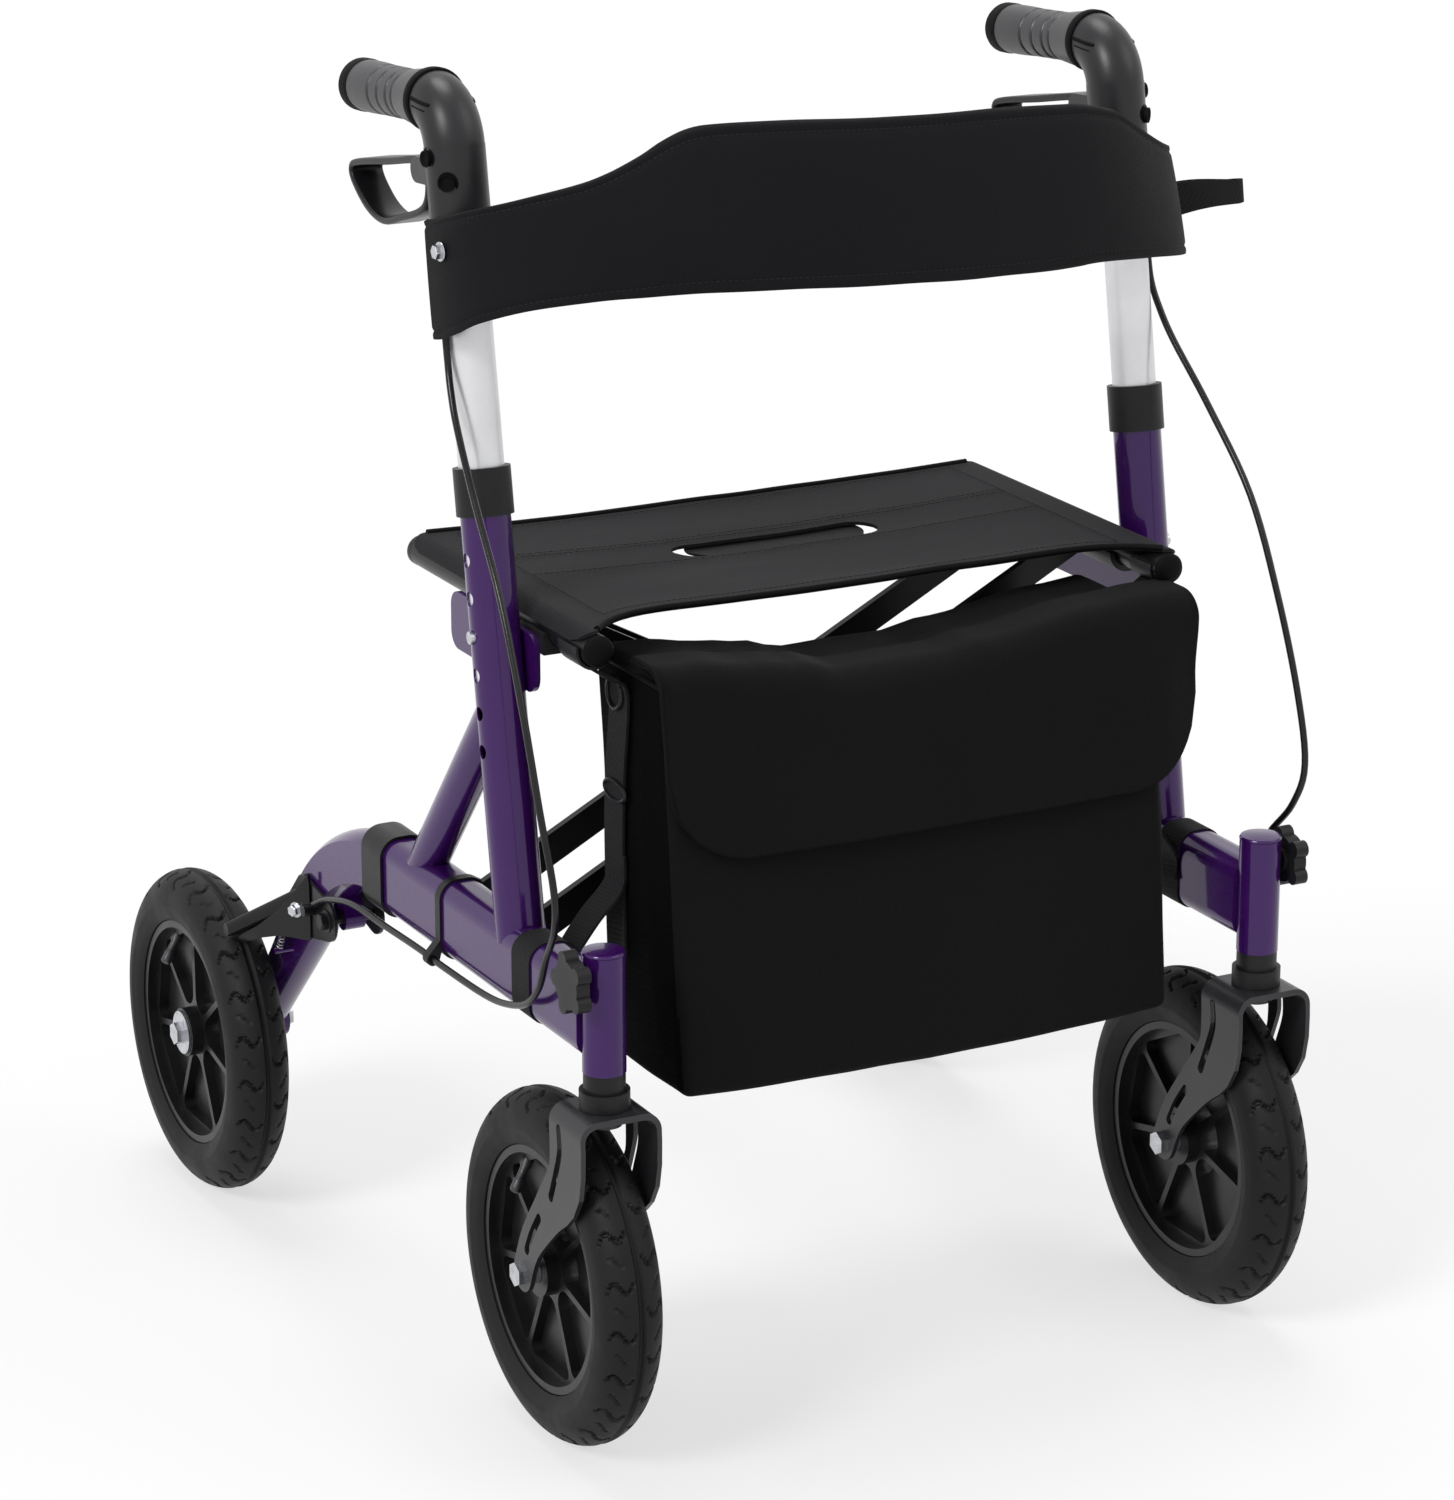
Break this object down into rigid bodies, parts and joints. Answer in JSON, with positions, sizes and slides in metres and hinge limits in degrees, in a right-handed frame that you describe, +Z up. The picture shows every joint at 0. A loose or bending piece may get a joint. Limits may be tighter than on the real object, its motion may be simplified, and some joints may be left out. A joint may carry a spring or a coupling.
{
  "type": "all terrain rollator",
  "caption": "Folding walker on large air tyres with a sling seat, padded backrest, front bag, height-set handles and loop brakes.",
  "frame": {"origin": "on the floor, midway between the axles and between the two side frames", "axes": "+Z up, -Y towards the casters and the bag, +Y towards the user, +X to the right seen from the front"},
  "size_m": [0.7017, 0.799, 0.9349],
  "materials": {
    "purple_paint": "gloss purple lacquer on alloy tube",
    "black_paint": "satin black powder coat",
    "black_plastic": "moulded black plastic",
    "grip_rubber": "soft ribbed rubber",
    "tyre_rubber": "black tyre rubber",
    "rim_nylon": "moulded black nylon",
    "zinc_steel": "zinc plated steel",
    "anodised_tube": "clear anodised tube",
    "cable_sheath": "smooth black sheath",
    "bag_cloth": "black polyester weave",
    "seat_cloth": "black coated nylon",
    "back_cloth": "padded black nylon",
    "webbing": "black woven webbing"
  },
  "bodies": {
    "left_frame": {"side_rail_left": "purple_paint", "upright_post_left": "purple_paint", "diagonal_brace_left": "purple_paint", "rear_leg_left": "purple_paint", "leg_collar_left": "black_plastic", "post_collar_left": "black_plastic", "head_bearing_left": "black_plastic", "cable_clip_left": "black_plastic", "seat_cradle_left": "black_plastic", "rear_axle_left": "zinc_steel", "pivot_bolt_left": "zinc_steel", "brake_spring_left": "zinc_steel", "brake_cable_left": "cable_sheath", "bag": "bag_cloth"},
    "right_frame": {"side_rail_right": "purple_paint", "upright_post_right": "purple_paint", "diagonal_brace_right": "purple_paint", "rear_leg_right": "purple_paint", "leg_collar_right": "black_plastic", "post_collar_right": "black_plastic", "head_bearing_right": "black_plastic", "cable_clip_right": "black_plastic", "seat_cradle_right": "black_plastic", "rear_axle_right": "zinc_steel", "pivot_bolt_right": "zinc_steel", "brake_spring_right": "zinc_steel", "brake_cable_right": "cable_sheath"},
    "arm_a": {"scissor_arm_a": "black_paint", "cross_bolt": "zinc_steel"},
    "arm_b": {"scissor_arm_b": "black_paint"},
    "sling": {"seat_sling": "seat_cloth"},
    "handle_left": {"handle_tube_left": "anodised_tube", "handle_shell_left": "black_plastic", "grip_left": "grip_rubber", "backrest": "back_cloth"},
    "lever_left": {"brake_lever_left": "black_paint"},
    "button_left": {"snap_button_left": "zinc_steel"},
    "caster_left": {"caster_fork_left": "black_paint", "front_axle_left": "zinc_steel"},
    "front_wheel_left": {"front_rim_left": "rim_nylon", "front_tyre_left": "tyre_rubber"},
    "rear_wheel_left": {"rear_rim_left": "rim_nylon", "rear_tyre_left": "tyre_rubber"},
    "brake_left": {"brake_arm_left": "black_paint"},
    "knob_left": {"lock_knob_left": "black_plastic"},
    "handle_right": {"handle_tube_right": "anodised_tube", "handle_shell_right": "black_plastic", "grip_right": "grip_rubber", "fold_strap": "webbing"},
    "lever_right": {"brake_lever_right": "black_paint"},
    "button_right": {"snap_button_right": "zinc_steel"},
    "caster_right": {"caster_fork_right": "black_paint", "front_axle_right": "zinc_steel"},
    "front_wheel_right": {"front_rim_right": "rim_nylon", "front_tyre_right": "tyre_rubber"},
    "rear_wheel_right": {"rear_rim_right": "rim_nylon", "rear_tyre_right": "tyre_rubber"},
    "brake_right": {"brake_arm_right": "black_paint"},
    "knob_right": {"lock_knob_right": "black_plastic"},
    "flap": {"bag_flap": "bag_cloth"}
  },
  "joints": [
    {"name": "fold", "type": "hinge", "parent": "left_frame", "child": "arm_a", "pos_m": [-0.226, -0.108, 0.326], "axis": [0, -1, 0], "range_deg": [0, 48], "deforming": ["seat_sling", "bag", "bag_flap", "backrest"]},
    {"name": "scissor_cross", "type": "hinge", "parent": "arm_a", "child": "arm_b", "pos_m": [0, -0.108, 0.4455], "axis": [0, -1, 0], "range_deg": [-96, 0]},
    {"name": "right_frame_pivot", "type": "hinge", "parent": "arm_b", "child": "right_frame", "pos_m": [0.226, -0.108, 0.326], "axis": [0, -1, 0], "range_deg": [0, 48]},
    {"name": "sling_sleeve", "type": "hinge", "parent": "arm_b", "child": "sling", "pos_m": [-0.226, -0.108, 0.565], "axis": [0, -1, 0], "range_deg": [0, 48]},
    {"name": "handle_slide_left", "type": "slide", "parent": "left_frame", "child": "handle_left", "axis": [0, 0.165, 0.9863], "range_m": [-0.0795, 0.053], "deforming": ["brake_cable_left", "snap_button_left"]},
    {"name": "lever_squeeze_left", "type": "hinge", "parent": "handle_left", "child": "lever_left", "pos_m": [-0.261, -0.09365, 0.86818], "axis": [1, 0, 0], "range_deg": [0, 14], "stiffness_Nm_per_rad": 1.2, "springref_deg": -8.59, "deforming": ["brake_cable_left", "brake_spring_left"]},
    {"name": "button_press_left", "type": "slide", "parent": "handle_left", "child": "button_left", "axis": [1, 0, 0], "range_m": [0, 0.004], "stiffness_N_per_m": 700, "springref_m": -0.002},
    {"name": "caster_swivel_left", "type": "hinge", "parent": "left_frame", "child": "caster_left", "pos_m": [-0.261, -0.3425, 0.28], "axis": [0, 0, 1], "continuous": true},
    {"name": "front_wheel_spin_left", "type": "hinge", "parent": "caster_left", "child": "front_wheel_left", "pos_m": [-0.261, -0.2725, 0.127], "axis": [1, 0, 0], "continuous": true},
    {"name": "rear_wheel_spin_left", "type": "hinge", "parent": "left_frame", "child": "rear_wheel_left", "pos_m": [-0.308, 0.2725, 0.127], "axis": [1, 0, 0], "continuous": true},
    {"name": "brake_press_left", "type": "hinge", "parent": "left_frame", "child": "brake_left", "pos_m": [-0.261, 0.08864, 0.2695], "axis": [1, 0, 0], "range_deg": [-1.96, 0], "deforming": ["brake_spring_left"]},
    {"name": "knob_turn_left", "type": "hinge", "parent": "left_frame", "child": "knob_left", "pos_m": [-0.286, -0.3425, 0.362], "axis": [1, 0, 0], "continuous": true},
    {"name": "handle_slide_right", "type": "slide", "parent": "right_frame", "child": "handle_right", "axis": [0, 0.165, 0.9863], "range_m": [-0.0795, 0.053], "deforming": ["brake_cable_right", "snap_button_right"]},
    {"name": "lever_squeeze_right", "type": "hinge", "parent": "handle_right", "child": "lever_right", "pos_m": [0.261, -0.09365, 0.86818], "axis": [1, 0, 0], "range_deg": [0, 14], "stiffness_Nm_per_rad": 1.2, "springref_deg": -8.59, "deforming": ["brake_cable_right", "brake_spring_right"]},
    {"name": "button_press_right", "type": "slide", "parent": "handle_right", "child": "button_right", "axis": [-1, 0, 0], "range_m": [0, 0.004], "stiffness_N_per_m": 700, "springref_m": -0.002},
    {"name": "caster_swivel_right", "type": "hinge", "parent": "right_frame", "child": "caster_right", "pos_m": [0.261, -0.3425, 0.28], "axis": [0, 0, 1], "continuous": true},
    {"name": "front_wheel_spin_right", "type": "hinge", "parent": "caster_right", "child": "front_wheel_right", "pos_m": [0.261, -0.2725, 0.127], "axis": [1, 0, 0], "continuous": true},
    {"name": "rear_wheel_spin_right", "type": "hinge", "parent": "right_frame", "child": "rear_wheel_right", "pos_m": [0.308, 0.2725, 0.127], "axis": [1, 0, 0], "continuous": true},
    {"name": "brake_press_right", "type": "hinge", "parent": "right_frame", "child": "brake_right", "pos_m": [0.261, 0.08864, 0.2695], "axis": [1, 0, 0], "range_deg": [-1.96, 0], "deforming": ["brake_spring_right"]},
    {"name": "knob_turn_right", "type": "hinge", "parent": "right_frame", "child": "knob_right", "pos_m": [0.286, -0.3425, 0.362], "axis": [1, 0, 0], "continuous": true},
    {"name": "flap_lift", "type": "hinge", "parent": "left_frame", "child": "flap", "pos_m": [0, -0.274, 0.5553], "axis": [-1, 0, 0], "range_deg": [0, 90]}
  ],
  "couplings": [
    {"joint": "scissor_cross", "follows": "fold", "ratio": -2},
    {"joint": "right_frame_pivot", "follows": "fold", "ratio": 1},
    {"joint": "sling_sleeve", "follows": "fold", "ratio": 1},
    {"joint": "brake_press_left", "follows": "lever_squeeze_left", "ratio": -0.14},
    {"joint": "brake_press_right", "follows": "lever_squeeze_right", "ratio": -0.14},
    {"joint": "handle_slide_right", "follows": "handle_slide_left", "ratio": 1}
  ]
}
